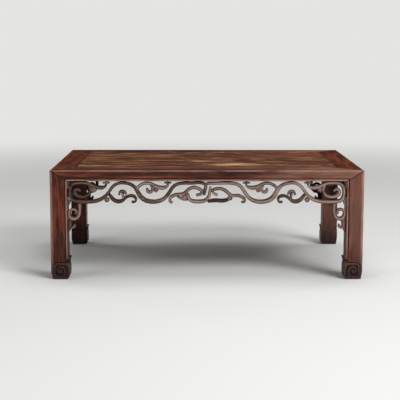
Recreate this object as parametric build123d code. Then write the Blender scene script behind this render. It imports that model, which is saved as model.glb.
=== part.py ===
"""Kang table: a low flush-sided hardwood table with openwork scroll aprons.

Millimetres, +Z up. The origin is on the floor under the middle of the table. The long sides run along X,
and the front of the table faces -Y.
"""
from build123d import *
from math import hypot
import os

# ---- driving dimensions ----
LENGTH = 900.0              # overall, along X
DEPTH = 600.0               # overall, along Y
HEIGHT = 317.0              # overall, along Z
LEG = 50.0                  # side of a leg's square section
ARRIS_RADIUS = 9.0          # rounding of the outer upright corners
TOP_EDGE_RADIUS = 5.0       # rounding of the table top's outer edge

FRAME_WIDTH = 70.0          # width of a top frame member, seen from above
FRAME_HEIGHT = 31.0         # height of a top frame member
PANEL_THICKNESS = 14.0      # the floating panel, flush with the frame
PANEL_GAP = 0.5             # room between the panel and the frame
PANEL_TONGUE = 8.0          # how far the panel's tongue reaches into the frame
PANEL_TONGUE_THICKNESS = 5.0
PANEL_TONGUE_DROP = 6.0     # top of the table to the top of the tongue
FRONT_BOARD = 186.0         # width of the front board; the back board takes the rest
BOARD_TONGUE = 6.0          # tongue between the two boards
BOARD_TONGUE_THICKNESS = 4.0

BATTEN_WIDTH = 36.0
BATTEN_HEIGHT = 16.0        # below the panel
BATTEN_SPACING = 260.0      # middle batten to an outer one
DOVETAIL_HEIGHT = 4.0       # of the batten's tongue in the boards
DOVETAIL_FOOT = 22.0        # width of that tongue at the panel's underside
DOVETAIL_FLARE = 2.0        # how much further it spreads on each side
BATTEN_TENON = 14.0         # reach into the long frame members
BATTEN_TENON_WIDTH = 24.0
BATTEN_TENON_THICKNESS = 8.0

BEAD_WIDTH = 5.5            # bead along the inner edges of legs and frame
BEAD_GROOVE = 2.5           # groove that sets the bead off
BEAD_DEPTH = 1.2

FOOT_HEIGHT = 48.0          # floor to the groove above the foot
FOOT_REACH = 4.0            # how far the foot stands in from the leg
FOOT_TAPER = 3.0            # how far its sole draws back
FOOT_KNEE_TOP = 38.0        # the foot's inner side is upright between these two heights
FOOT_KNEE_BOTTOM = 19.0
BARB_HEIGHT = 13.0          # the spur above the foot
BARB_REACH = 5.5            # how far its tip stands in from the leg
BARB_TIP_DROP = 3.0         # its tip below its root
BARB_WAIST = 3.0            # how far the leg stands in just under the spur

APRON_HEIGHT = 64.0
APRON_THICKNESS = 12.0
APRON_RECESS = 5.0          # face of the apron behind the face of the legs
APRON_GAP = 2.0             # between the scrolls and the frame above
DROP_HEIGHT = 83.0          # length of the openwork drop under the apron
DROP_GAP = 0.4              # between the drop and the apron above it

TENON_THICKNESS = 5.0       # tenons of the aprons and drops
APRON_TENON_REACH = 12.0    # of the apron's own end tenons, into the legs
APRON_TENON_HEIGHT = 24.0
LOOSE_WIDTH = 12.0          # loose tenons between aprons and frame
LOOSE_REACH = 8.0           # how far they go up into the frame
LOOSE_DEPTH = 6.0           # and down into the apron
DROP_TENON_WIDTH = 9.0      # loose tenons between drops and legs
DROP_TENON_REACH = 8.0      # how far they go into the leg
DROP_TENON_DEPTH = 5.0      # and into the drop
STEM_TENON_WIDTH = 5.0      # loose tenons between drops and aprons
STEM_TENON_DEPTH = 6.0      # into each of the two
LEG_TENON_LONG = 16.0       # the leg's two stub tenons, in plan
LEG_TENON_SHORT = 12.0
LEG_TENON_SETBACK = 8.0     # from the leg's inner face
LEG_TENON_CHEEK = 7.0       # wood left towards the leg's outer face
LEG_TENON_COVER = 10.0      # wood left above them
CORNER_TENON_WIDTH = 12.0   # tenon of the mitred frame corner
CORNER_TENON_THICKNESS = 8.0
CORNER_TENON_REACH = 30.0   # past the leg's inner face
CORNER_TENON_RISE = 6.0     # above the frame's underside
CLEARANCE = 0.15            # round every tenon in its mortise
END_CLEARANCE = 0.5         # beyond its end

# ---- scroll pattern ----
# A stroke is a list of (x, z, width): points on its centre line, with the band's width there. x runs from
# the middle of an apron towards the right-hand leg, and z up from its lower edge.
PATTERN_HALF = 400.0        # half a long apron's length, as the points below are drawn
PATTERN_HALF_END = 250.0    # the same for the shorter aprons
PATTERN_HEIGHT = 64.0

CORNER_VINE = [
    (204, 43, 10), (216, 54, 9), (235, 59.5, 8.5), (254, 58.5, 8.5), (269, 50, 9), (281, 34, 9),
    (296, 18, 10), (318, 8, 11), (345, 5.5, 11), (370, 6, 11), (385, 10.5, 10), (391.5, 24, 9),
    (391.5, 42, 9), (385, 54, 9), (371, 59.5, 8.5), (352, 59.8, 8.5), (338, 57, 9), (325, 50.5, 10),
    (313, 47, 11), (301, 46.2, 10.5), (292.5, 49.5, 7.5), (289, 55, 6), (288.5, 59, 5),
]
CORNER_STROKES = [
    [(280, 60, 4), (288, 61, 5.5), (297, 60, 4)],
    [(340, 57, 6), (335, 47, 8), (334, 36, 8), (340, 26, 8), (353, 20, 9), (367, 21.5, 10),
     (377, 29, 12), (377, 39, 10), (368.5, 41.5, 8.5), (364, 38, 7.5)],
    [(389, 19, 5), (393, 8, 6), (395, -2, 3.5)],
    [(282.5, 29, 6), (277, 22, 9), (268, 11.5, 10.5), (255, 6.2, 11.5), (244, 8.5, 10.5), (235, 16, 9),
     (225, 21.5, 8.5), (214, 22.5, 9), (206, 18, 8), (204, 10.5, 6.5), (207.5, 4.8, 6), (213.5, 5, 7)],
    [(238, 12, 6), (241, 22, 7), (241.5, 33, 7)],
    [(232.5, 28, 5.5), (236.5, 34, 7), (243, 36.2, 8), (249.5, 33.5, 7), (251.5, 27, 5.5)],
]
CORNER_BUDS = [(324, 40, 7.4), (287, 11, 7.2)]

MIDDLE_VINE = [
    (40, 59.3, 8.5), (75, 58.5, 9), (93, 52, 9.5), (106, 36, 10), (120, 17.5, 10.5), (140, 7, 11.5),
    (162, 6, 12), (181, 12, 12.5), (195, 27, 12.5),
]
MIDDLE_STROKES = [
    [(204.5, 39, 7), (198, 47, 9), (188, 55, 8.5), (174, 59.3, 8.5), (160, 57, 8.5), (148, 51, 9.5),
     (136, 46.5, 11), (123, 46.5, 10), (114.5, 50.5, 7), (112, 56, 6), (112, 59, 5)],
    [(104, 60, 4), (112, 61, 5.5), (121, 60, 4)],
    [(161, 56, 6), (157.5, 46, 7), (157.5, 38, 8), (163, 33.5, 9), (169.5, 36, 9), (171.5, 41.5, 7)],
]
MIDDLE_BUDS = [(146.6, 40.5, 7.6)]

RIGHT_VINE_START = [(3, 58.5, 9)]
LEFT_VINE_START = [(-6.5, 28, 8), (-5.5, 37, 9), (-3, 46, 9.5), (-4.5, 54, 9.5), (-14, 59.3, 8.5)]
CROSSING_STROKES = [
    [(-102, 4, 7), (-107.5, 7.5, 6.5), (-106, 15, 8.5), (-99, 22, 9), (-88, 26, 9), (-76, 27.5, 8),
     (-66, 30, 8.5), (-59, 36, 8.5), (-50, 43, 9), (-38, 47, 9), (-25, 43.5, 9), (-15, 35.5, 9),
     (-18.5, 27.5, 8), (-28, 25, 8)],
    [(-64, 31, 6), (-55, 25, 9), (-52.5, 16, 9), (-44, 8.5, 10), (-30, 6.3, 11), (-13, 7, 10.5),
     (-0.5, 13, 9.5), (6, 25, 9), (8, 37, 8), (9.3, 46, 6.5)],
    [(-84, 20, 5), (-76, 16, 7), (-66, 12.5, 7), (-54, 12, 6)],
    [(8, 36, 6), (20, 41, 8), (35, 43.5, 9), (50, 39, 9.5), (60, 31, 10), (68, 25, 9.5), (78, 23, 8.5),
     (90, 23, 9), (100, 19.5, 9), (107.5, 12.5, 8), (107.5, 6.5, 6.5), (101.5, 4.5, 7)],
    [(5, 6.5, 8), (15, 8.8, 10.5), (32, 9, 11), (49, 9, 11), (60, 12, 9)],
    [(14, 38, 5), (19, 30, 7), (27, 25.5, 7.5)],
]
CROSSING_BUDS = [(-65, 19.5, 8.2), (65.5, 16.5, 7.2)]

END_VINE_START = [(-16, 5.8, 11), (0, 5.5, 11), (16, 5.8, 11), (32, 12, 12), (45, 27, 12.5)]
END_MIDDLE_STROKES = [
    [(54.5, 39, 7), (47, 48, 9), (35, 55.5, 8.5), (18, 59.3, 8.5), (0, 59.8, 8.5), (-18, 59.3, 8.5),
     (-35, 55.5, 8.5), (-47, 48, 9), (-54.5, 39, 7)],
    [(0, 58, 7), (0, 44, 8)],
]
END_PAIRED_STROKES = [
    [(17, 57, 6), (14, 47, 7), (14.5, 38, 8), (20.5, 33.5, 9), (27, 36.5, 9), (28.5, 42.5, 7)],
]
END_BUDS = [(0, 40, 7.6)]

# Drops: here x is the distance from the leg's inner face, and z runs down from the apron's lower edge.
PATTERN_DROP = 83.0
DROP_STEM_X = 35.0
DROP_STROKES = [
    [(DROP_STEM_X, 0, 9), (DROP_STEM_X, -20, 9.5), (33, -32, 9.5), (27, -40.5, 10), (18, -43.5, 11),
     (9.3, -40, 11), (5.2, -31, 9), (6.2, -22, 8), (12, -17, 8), (20, -16.5, 8), (25.5, -20.5, 8)],
    [(16, -44, 9), (7.2, -51, 13), (6.7, -62, 12), (5, -72, 8.6), (3, -81, 4.5)],
    [(8, -66, 6), (13.5, -68.5, 8), (19, -66, 8), (20, -61, 5)],
]
DROP_BUDS = [(26.5, -25.5, 5.2)]

# Places of the loose tenons on the pattern.
LOOSE_AT = [58.0, 240.0, 366.0]
LOOSE_AT_END = [90.0, 216.0]
DROP_TENONS_AT = [-31.0, -60.0]

# ---- derived sizes ----
half_length = LENGTH / 2
half_depth = DEPTH / 2
long_half_field = half_length - LEG           # middle of a long side to the leg's inner face
end_half_field = half_depth - LEG
frame_bottom = HEIGHT - FRAME_HEIGHT
apron_top = frame_bottom - APRON_GAP
apron_bottom = apron_top - APRON_HEIGHT
panel_bottom = HEIGHT - PANEL_THICKNESS
tongue_top = HEIGHT - PANEL_TONGUE_DROP
tongue_bottom = tongue_top - PANEL_TONGUE_THICKNESS
panel_half_length = half_length - FRAME_WIDTH
panel_half_depth = half_depth - FRAME_WIDTH
board_joint = -panel_half_depth + FRONT_BOARD
tenon_setback = APRON_RECESS + (APRON_THICKNESS - TENON_THICKNESS) / 2
pattern_rise = APRON_HEIGHT / PATTERN_HEIGHT


# ---- small helpers ----
def block(low, high):
    """A box between two corners."""
    size = [b - a for a, b in zip(low, high)]
    return Pos(*low) * Box(*size, align=(Align.MIN, Align.MIN, Align.MIN))


def grown(low, high, side, end_axis):
    """The mortise of a tenon block: clearance on its sides, and more beyond the end that end_axis names.

    end_axis is the number of the tenon's long axis; side is -1 or +1 for one blind end, 0 for two.
    """
    low = [a - CLEARANCE for a in low]
    high = [b + CLEARANCE for b in high]
    if side <= 0:
        low[end_axis] -= END_CLEARANCE - CLEARANCE
    if side >= 0:
        high[end_axis] += END_CLEARANCE - CLEARANCE
    return block(low, high)


def mirrored(shape, x_side, y_side):
    """The same shape in another quarter of the table."""
    if x_side < 0 and y_side < 0:
        return Rot(0, 0, 180) * shape
    if x_side < 0:
        return mirror(shape, about=Plane.YZ)
    if y_side < 0:
        return mirror(shape, about=Plane.XZ)
    return shape


def ribbon(stroke):
    """The flat outline of one stroke: a smooth band round its centre line, with round ends."""
    lefts, rights, headings = [], [], []
    for i, (x, z, width) in enumerate(stroke):
        before = stroke[max(i - 1, 0)]
        after = stroke[min(i + 1, len(stroke) - 1)]
        run_in = hypot(x - before[0], z - before[1]) or 1.0
        run_out = hypot(after[0] - x, after[1] - z) or 1.0
        dx = (x - before[0]) / run_in * run_out + (after[0] - x) / run_out * run_in
        dz = (z - before[1]) / run_in * run_out + (after[1] - z) / run_out * run_in
        length = hypot(dx, dz)
        headings.append((dx / length, dz / length))
        lefts.append((x - dz / length * width / 2, z + dx / length * width / 2))
        rights.append((x + dz / length * width / 2, z - dx / length * width / 2))
    first, last = stroke[0], stroke[-1]
    tail = (first[0] - headings[0][0] * first[2] / 2, first[1] - headings[0][1] * first[2] / 2)
    tip = (last[0] + headings[-1][0] * last[2] / 2, last[1] + headings[-1][1] * last[2] / 2)
    outline = [
        Spline(*lefts),
        ThreePointArc(lefts[-1], tip, rights[-1]),
        Spline(*reversed(rights)),
        ThreePointArc(rights[0], tail, lefts[0]),
    ]
    return make_face(outline)


def flipped(strokes):
    """Strokes or buds mirrored to the left half."""
    return [[(-x, z, w) for x, z, w in stroke] for stroke in strokes]


def moved(stroke, by):
    return [(x + by, z, w) for x, z, w in stroke]


def stretched(stroke, across, up):
    """A stroke fitted to the real field; the bands keep their width."""
    return [(x * across, z * up, w) for x, z, w in stroke]


def openwork(strokes, buds, across, up):
    """All bands and buds joined to one flat outline."""
    faces = [ribbon(stretched(stroke, across, up)) for stroke in strokes]
    for x, z, radius in buds:
        faces.append(Pos(x * across, z * up) * Circle(radius))
    return Sketch() + faces


def standing(outline, distance):
    """Stand a flat outline up behind the front face, distance from the middle, and thicken it."""
    front = Plane(origin=(0, -distance + APRON_RECESS, apron_bottom), x_dir=(1, 0, 0), z_dir=(0, -1, 0))
    return extrude(front * outline, amount=-APRON_THICKNESS)


# ---- legs ----
def leg_profile(outer):
    """One face of a leg, with the foot turned in and the mitre at the head; outer is its outer edge."""
    inner = outer - LEG
    foot_wide = inner - FOOT_REACH
    points = [
        (outer - FOOT_TAPER, 0),
        (outer, FOOT_HEIGHT / 2),
        (outer, HEIGHT),
        (inner, frame_bottom),
        (inner, FOOT_HEIGHT + BARB_HEIGHT),
        (inner - BARB_REACH, FOOT_HEIGHT + BARB_HEIGHT - BARB_TIP_DROP),
        (inner - BARB_WAIST, FOOT_HEIGHT),
        (foot_wide, FOOT_KNEE_TOP),
        (foot_wide, FOOT_KNEE_BOTTOM),
        (inner + FOOT_TAPER, 0),
    ]
    return make_face(Polyline(*points, close=True))


def leg_core():
    """The back right leg without its stub tenons, as far as the mitres."""
    reach = LEG + 2 * (FOOT_REACH + BARB_REACH)
    front_view = Plane.XZ * leg_profile(half_length)
    side_view = Plane.YZ * leg_profile(half_depth)
    along_y = extrude(Pos(0, half_depth + LEG, 0) * front_view, amount=reach + LEG)
    along_x = extrude(Pos(half_length - reach, 0, 0) * side_view, amount=reach + LEG)
    return along_y & along_x & envelope


def stub_boxes():
    """Low and high corners of the leg's stub tenons: one in the long member, one in the short one."""
    near = LEG_TENON_SETBACK
    far = LEG - LEG_TENON_CHEEK - LEG_TENON_LONG
    top = HEIGHT - LEG_TENON_COVER
    in_long = (
        (long_half_field + near, end_half_field + far, frame_bottom),
        (long_half_field + near + LEG_TENON_SHORT, end_half_field + far + LEG_TENON_LONG, top),
    )
    in_short = (
        (long_half_field + far, end_half_field + near, frame_bottom),
        (long_half_field + far + LEG_TENON_LONG, end_half_field + near + LEG_TENON_SHORT, top),
    )
    return in_long, in_short


def foot_grooves():
    """The groove above the foot, on both outer faces of the back right leg."""
    low = FOOT_HEIGHT
    high = FOOT_HEIGHT + BEAD_GROOVE
    stop = LEG - ARRIS_RADIUS - BEAD_WIDTH
    on_back = block(
        (long_half_field, half_depth - BEAD_DEPTH, low),
        (long_half_field + stop, half_depth, high),
    )
    on_side = block(
        (half_length - BEAD_DEPTH, end_half_field, low),
        (half_length, end_half_field + stop, high),
    )
    return on_back + on_side


def make_leg():
    """The back right leg, with stub tenons, mortises, bead and foot groove."""
    leg = leg_core() - bead_grooves - foot_grooves()
    for low, high in stub_boxes():
        leg += block(low, high)
    leg -= grown(*apron_end_tenon(long_half_field, half_depth), 0, 2)
    leg -= grown(*swapped(apron_end_tenon(end_half_field, half_length)), 0, 2)
    for cutter in drop_leg_mortises:
        leg -= cutter
    return leg


# ---- tenons of aprons and drops, in the back right quarter ----
def apron_end_tenon(half_field, outer):
    """Corners of an apron's right-hand end tenon; x runs along the apron and y across it."""
    middle = apron_bottom + APRON_HEIGHT / 2
    low = (half_field - BEAD_WIDTH - CLEARANCE, outer - tenon_setback - TENON_THICKNESS,
           middle - APRON_TENON_HEIGHT / 2)
    high = (half_field + APRON_TENON_REACH, outer - tenon_setback, middle + APRON_TENON_HEIGHT / 2)
    return low, high


def swapped(corners):
    """Exchange x and y in a pair of corners: from a long side to a short one."""
    return tuple((corner[1], corner[0], corner[2]) for corner in corners)


def loose_tenons(half_field, outer, places, pattern_half):
    """Corners of the loose tenons in the right half of one apron."""
    across = half_field / pattern_half
    for place in places:
        x = place * across
        yield (
            (x - LOOSE_WIDTH / 2, outer - tenon_setback - TENON_THICKNESS, apron_top - LOOSE_DEPTH),
            (x + LOOSE_WIDTH / 2, outer - tenon_setback, frame_bottom + LOOSE_REACH),
        )


def drop_tenons(half_field, outer):
    """Corners of the loose tenons between one drop and its leg."""
    front = outer - tenon_setback
    for place in DROP_TENONS_AT:
        z = apron_bottom + place * DROP_HEIGHT / PATTERN_DROP
        yield (
            (half_field - DROP_TENON_DEPTH, front - TENON_THICKNESS, z - DROP_TENON_WIDTH / 2),
            (half_field + DROP_TENON_REACH, front, z + DROP_TENON_WIDTH / 2),
        )


def stem_tenon(half_field, outer):
    """Corners of the loose tenon between one drop and the apron above."""
    front = outer - tenon_setback
    x = half_field - DROP_STEM_X
    return (
        (x - STEM_TENON_WIDTH / 2, front - TENON_THICKNESS, apron_bottom - STEM_TENON_DEPTH),
        (x + STEM_TENON_WIDTH / 2, front, apron_bottom + STEM_TENON_DEPTH),
    )


# ---- frame ----
def bead_groove(half_field, distance):
    """The groove beside the bead on the front face: up one leg, along the frame and down the other leg."""
    near = BEAD_WIDTH
    far = BEAD_WIDTH + BEAD_GROOVE
    floor = -distance + BEAD_DEPTH
    foot = FOOT_HEIGHT + BEAD_GROOVE
    outside = block((-half_field - far, -distance, foot), (half_field + far, floor, frame_bottom + far))
    inside = block((-half_field - near, -distance, 0), (half_field + near, floor, frame_bottom + near))
    return outside - inside


def trapezium(half_outer, half_inner, outer_y, inner_y):
    """Plan of a mitred frame member at the back of the table."""
    points = [(-half_outer, outer_y), (half_outer, outer_y), (half_inner, inner_y), (-half_inner, inner_y)]
    return make_face(Polyline(*points, close=True))


def corner_tenon():
    """Corners of the long member's tenon that crosses the mitre into the short member."""
    inside = FRAME_WIDTH - LEG
    y = end_half_field - inside / 2
    z = frame_bottom + CORNER_TENON_RISE
    return (
        (long_half_field - inside, y - CORNER_TENON_WIDTH / 2, z),
        (long_half_field + CORNER_TENON_REACH, y + CORNER_TENON_WIDTH / 2, z + CORNER_TENON_THICKNESS),
    )


def panel_groove():
    """The room for the panel's tongue inside the frame."""
    x = panel_half_length + PANEL_TONGUE + END_CLEARANCE
    y = panel_half_depth + PANEL_TONGUE + END_CLEARANCE
    return block((-x, -y, tongue_bottom - CLEARANCE), (x, y, tongue_top + CLEARANCE))


def frame_cutters():
    """What both kinds of frame member lose: legs with their stubs, beads, panel groove and loose tenons."""
    in_long, in_short = stub_boxes()
    corner = leg_core() + grown(*in_long, 1, 2) + grown(*in_short, 1, 2)
    cutters = [mirrored(corner, x_side, y_side) for x_side in (1, -1) for y_side in (1, -1)]
    return cutters + [bead_grooves, panel_groove()]


def make_frame_back(cutters):
    """The back long member, with a tenon at each end and mortises for the battens."""
    plan = trapezium(half_length, panel_half_length, half_depth, panel_half_depth)
    member = extrude(Pos(0, 0, frame_bottom) * plan, amount=FRAME_HEIGHT) & envelope
    for x_side in (1, -1):
        member += mirrored(block(*corner_tenon()), x_side, 1)
    for cutter in cutters:
        member -= cutter
    for x in (-BATTEN_SPACING, 0, BATTEN_SPACING):
        member -= grown(*batten_tenon(x), 1, 1)
    for low, high in loose_tenons(long_half_field, half_depth, LOOSE_AT, PATTERN_HALF):
        for x_side in (1, -1):
            member -= mirrored(grown(low, high, 0, 2), x_side, 1)
    return member


def make_frame_right(cutters):
    """The right short member, mortised for the long members' tenons."""
    plan = trapezium(half_depth, panel_half_depth, half_length, panel_half_length)
    member = extrude(Pos(0, 0, frame_bottom) * plan, amount=FRAME_HEIGHT)
    member = Rot(0, 0, -90) * member & envelope
    for y_side in (1, -1):
        member -= mirrored(grown(*corner_tenon(), 1, 0), 1, y_side)
    for cutter in cutters:
        member -= cutter
    for corners in loose_tenons(end_half_field, half_length, LOOSE_AT_END, PATTERN_HALF_END):
        for y_side in (1, -1):
            member -= mirrored(grown(*swapped(corners), 0, 2), 1, y_side)
    return member


# ---- panel and battens ----
def batten_tenon(x):
    """Corners of a batten's back tenon."""
    z = panel_bottom - (BATTEN_HEIGHT + BATTEN_TENON_THICKNESS) / 2
    return (
        (x - BATTEN_TENON_WIDTH / 2, panel_half_depth, z),
        (x + BATTEN_TENON_WIDTH / 2, panel_half_depth + BATTEN_TENON, z + BATTEN_TENON_THICKNESS),
    )


def dovetail(x, room):
    """The dovetail tongue on a batten, or with room its housing in the boards, as long as the panel."""
    foot = DOVETAIL_FOOT / 2 + room
    head = foot + DOVETAIL_FLARE
    top = panel_bottom + DOVETAIL_HEIGHT + room
    points = [(x - foot, panel_bottom), (x - head, top), (x + head, top), (x + foot, panel_bottom)]
    section = Plane.XZ * make_face(Polyline(*points, close=True))
    run = panel_half_depth - PANEL_GAP
    return extrude(Pos(0, run, 0) * section, amount=2 * run)


def make_batten(x):
    """A batten under the panel, tenoned into both long members."""
    shoulder = panel_half_depth
    body = block(
        (x - BATTEN_WIDTH / 2, -shoulder, panel_bottom - BATTEN_HEIGHT),
        (x + BATTEN_WIDTH / 2, shoulder, panel_bottom),
    )
    tenon = block(*batten_tenon(x))
    return body + dovetail(x, 0) + tenon + mirror(tenon, about=Plane.XZ)


def make_boards():
    """The two boards of the panel, tongued all round and housed for the battens."""
    x = panel_half_length - PANEL_GAP
    y = panel_half_depth - PANEL_GAP
    reach_x = panel_half_length + PANEL_TONGUE
    reach_y = panel_half_depth + PANEL_TONGUE
    panel = block((-x, -y, panel_bottom), (x, y, HEIGHT))
    panel += block((-reach_x, -reach_y, tongue_bottom), (reach_x, reach_y, tongue_top))
    middle = (tongue_bottom + tongue_top) / 2
    tongue = (
        (-x, board_joint - BOARD_TONGUE, middle - BOARD_TONGUE_THICKNESS / 2),
        (x, board_joint, middle + BOARD_TONGUE_THICKNESS / 2),
    )
    front = panel & block((-half_length, -half_depth, 0), (half_length, board_joint, HEIGHT))
    back = panel & block((-half_length, board_joint, 0), (half_length, half_depth, HEIGHT))
    front -= grown(*tongue, -1, 1)
    back += block(*tongue)
    for place in (-BATTEN_SPACING, 0, BATTEN_SPACING):
        housing = dovetail(place, CLEARANCE)
        front -= housing
        back -= housing
    return front, back


# ---- aprons and drops ----
def apron_solid(strokes, buds, half_field, outer, pattern_half, places):
    """An apron on the front face at a distance outer from the middle, with end tenons and mortises."""
    apron = standing(openwork(strokes, buds, half_field / pattern_half, pattern_rise), outer)
    end = apron_end_tenon(half_field, outer)
    hangers = loose_tenons(half_field, outer, places, pattern_half)
    cutters = [grown(*corners, 0, 2) for corners in hangers]
    cutters.append(grown(*stem_tenon(half_field, outer), 0, 2))
    for x_side in (1, -1):
        apron += mirrored(block(*end), x_side, -1)
        for cutter in cutters:
            apron -= mirrored(cutter, x_side, -1)
    return apron


def make_long_apron():
    """The front apron: two mirrored halves whose vines cross in the middle."""
    right_vine = RIGHT_VINE_START + MIDDLE_VINE + CORNER_VINE
    left_vine = LEFT_VINE_START + flipped([MIDDLE_VINE + CORNER_VINE])[0]
    paired = MIDDLE_STROKES + CORNER_STROKES
    paired_buds = MIDDLE_BUDS + CORNER_BUDS
    strokes = [right_vine, left_vine] + paired + flipped(paired) + CROSSING_STROKES
    buds = paired_buds + flipped([paired_buds])[0] + CROSSING_BUDS
    return apron_solid(strokes, buds, long_half_field, half_depth, PATTERN_HALF, LOOSE_AT)


def make_end_apron():
    """The apron of a short side, laid out on the front: the same corners, a symmetric middle."""
    shift = PATTERN_HALF_END - PATTERN_HALF
    corner = moved(CORNER_VINE, shift)
    vine = [(-x, z, w) for x, z, w in reversed(corner)]
    vine += [(-x, z, w) for x, z, w in reversed(END_VINE_START[2:])] + END_VINE_START[1:] + corner
    paired = [moved(stroke, shift) for stroke in CORNER_STROKES] + END_PAIRED_STROKES
    paired_buds = moved(CORNER_BUDS, shift)
    strokes = [vine] + paired + flipped(paired) + END_MIDDLE_STROKES
    buds = paired_buds + flipped([paired_buds])[0] + END_BUDS
    return apron_solid(strokes, buds, end_half_field, half_length, PATTERN_HALF_END, LOOSE_AT_END)


def make_drop(half_field, outer):
    """The right-hand drop of a side, laid out on the front."""
    fall = (DROP_HEIGHT - DROP_GAP) / PATTERN_DROP
    strokes = [[(half_field - x, z * fall - DROP_GAP, w) for x, z, w in stroke] for stroke in DROP_STROKES]
    buds = [(half_field - x, z * fall - DROP_GAP, radius) for x, z, radius in DROP_BUDS]
    outline = openwork(strokes, buds, 1, 1)
    room = Rectangle(LEG * 2, DROP_HEIGHT * 2, align=(Align.CENTER, Align.MAX))
    ceiling = Pos(half_field, -DROP_GAP) * room
    drop = standing(outline & ceiling, outer)
    for low, high in drop_tenons(half_field, outer):
        drop -= mirrored(grown(low, high, 0, 0), 1, -1)
    drop -= mirrored(grown(*stem_tenon(half_field, outer), 0, 2), 1, -1)
    return drop


# ---- the table ----
outer_block = block((-half_length, -half_depth, 0), (half_length, half_depth, HEIGHT))
envelope = fillet(outer_block.edges().filter_by(Axis.Z), ARRIS_RADIUS)
envelope = fillet(envelope.faces().sort_by(Axis.Z)[-1].edges(), TOP_EDGE_RADIUS)

front_groove = bead_groove(long_half_field, half_depth)
right_groove = Rot(0, 0, 90) * bead_groove(end_half_field, half_length)
bead_grooves = front_groove + mirror(front_groove, about=Plane.XZ) + right_groove
bead_grooves += mirror(right_groove, about=Plane.YZ)

long_drop_tenons = list(drop_tenons(long_half_field, half_depth))
end_drop_tenons = [swapped(corners) for corners in drop_tenons(end_half_field, half_length)]
drop_leg_mortises = [grown(*corners, 0, 0) for corners in long_drop_tenons]
drop_leg_mortises += [grown(*corners, 0, 1) for corners in end_drop_tenons]

parts = {}

leg = make_leg()
QUARTERS = {"front_left": (-1, -1), "front_right": (1, -1), "back_left": (-1, 1), "back_right": (1, 1)}
for place, (x_side, y_side) in QUARTERS.items():
    parts["leg_" + place] = mirrored(leg, x_side, y_side)

cutters = frame_cutters()
parts["frame_back"] = make_frame_back(cutters)
parts["frame_front"] = mirror(parts["frame_back"], about=Plane.XZ)
parts["frame_right"] = make_frame_right(cutters)
parts["frame_left"] = mirror(parts["frame_right"], about=Plane.YZ)

parts["board_front"], parts["board_back"] = make_boards()
for name, x in (("left", -BATTEN_SPACING), ("middle", 0), ("right", BATTEN_SPACING)):
    parts["batten_" + name] = make_batten(x)

parts["apron_front"] = make_long_apron()
parts["apron_back"] = Rot(0, 0, 180) * parts["apron_front"]
parts["apron_right"] = Rot(0, 0, 90) * make_end_apron()
parts["apron_left"] = Rot(0, 0, 180) * parts["apron_right"]

long_drop = make_drop(long_half_field, half_depth)
end_drop = Rot(0, 0, 90) * make_drop(end_half_field, half_length)
for place, (x_side, y_side) in QUARTERS.items():
    y_name, x_name = place.split("_")
    parts[f"drop_{y_name}_{x_name}"] = mirrored(long_drop, x_side, -y_side)
    parts[f"drop_{x_name}_{y_name}"] = mirrored(end_drop, x_side, y_side)

hangers = list(loose_tenons(long_half_field, half_depth, LOOSE_AT, PATTERN_HALF))
hangers += [swapped(c) for c in loose_tenons(end_half_field, half_length, LOOSE_AT_END, PATTERN_HALF_END)]
leg_pins = long_drop_tenons + end_drop_tenons
stem_pins = [stem_tenon(long_half_field, half_depth), swapped(stem_tenon(end_half_field, half_length))]
GROUPS = {"apron_tenons": hangers, "drop_leg_tenons": leg_pins, "drop_apron_tenons": stem_pins}
for name, group in GROUPS.items():
    solids = [mirrored(block(*corners), *sides) for corners in group for sides in QUARTERS.values()]
    parts[name] = Compound(children=solids)

os.makedirs("parts", exist_ok=True)
for name, part in parts.items():
    export_step(part, f"parts/{name}.step")
    print(f"{name}: {len(part.solids())} solids, {part.volume / 1000:.1f} cm3")
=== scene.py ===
"""Kang table: the finished look of a low hardwood table with openwork scroll aprons.

Shapes are laid out in millimetres in the part's own frame: +Z up, the origin on the floor under the middle of
the table, the front facing -Y. They are scaled to metres when their meshes are made.
"""

import math

import bmesh
import bpy
import numpy as np
from mathutils import Euler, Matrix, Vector


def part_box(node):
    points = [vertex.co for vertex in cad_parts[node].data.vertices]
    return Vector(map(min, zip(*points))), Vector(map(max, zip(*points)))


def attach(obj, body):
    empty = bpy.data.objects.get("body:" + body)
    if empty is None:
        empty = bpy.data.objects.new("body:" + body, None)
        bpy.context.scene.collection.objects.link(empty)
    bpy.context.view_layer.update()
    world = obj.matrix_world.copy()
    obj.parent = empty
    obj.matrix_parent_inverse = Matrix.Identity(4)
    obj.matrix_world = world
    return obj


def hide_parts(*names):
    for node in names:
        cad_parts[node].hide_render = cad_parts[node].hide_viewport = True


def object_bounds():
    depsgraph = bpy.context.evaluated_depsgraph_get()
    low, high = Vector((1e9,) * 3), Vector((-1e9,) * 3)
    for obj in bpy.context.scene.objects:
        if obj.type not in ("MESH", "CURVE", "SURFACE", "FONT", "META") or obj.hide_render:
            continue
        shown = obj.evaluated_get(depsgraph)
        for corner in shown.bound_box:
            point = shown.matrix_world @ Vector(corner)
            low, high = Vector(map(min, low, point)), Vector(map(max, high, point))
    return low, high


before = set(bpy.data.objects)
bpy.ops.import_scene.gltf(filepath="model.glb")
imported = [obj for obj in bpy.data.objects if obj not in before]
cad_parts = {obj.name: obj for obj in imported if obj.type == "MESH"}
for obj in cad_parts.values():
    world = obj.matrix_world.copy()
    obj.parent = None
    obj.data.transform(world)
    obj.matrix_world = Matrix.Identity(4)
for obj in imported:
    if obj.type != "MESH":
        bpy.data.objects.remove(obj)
cad_low, cad_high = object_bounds()

# ---- sizes, in millimetres ----
MM = 0.001
HALF_LENGTH, HALF_DEPTH, HEIGHT = (round(value / MM, 3) for value in cad_high)

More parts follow.
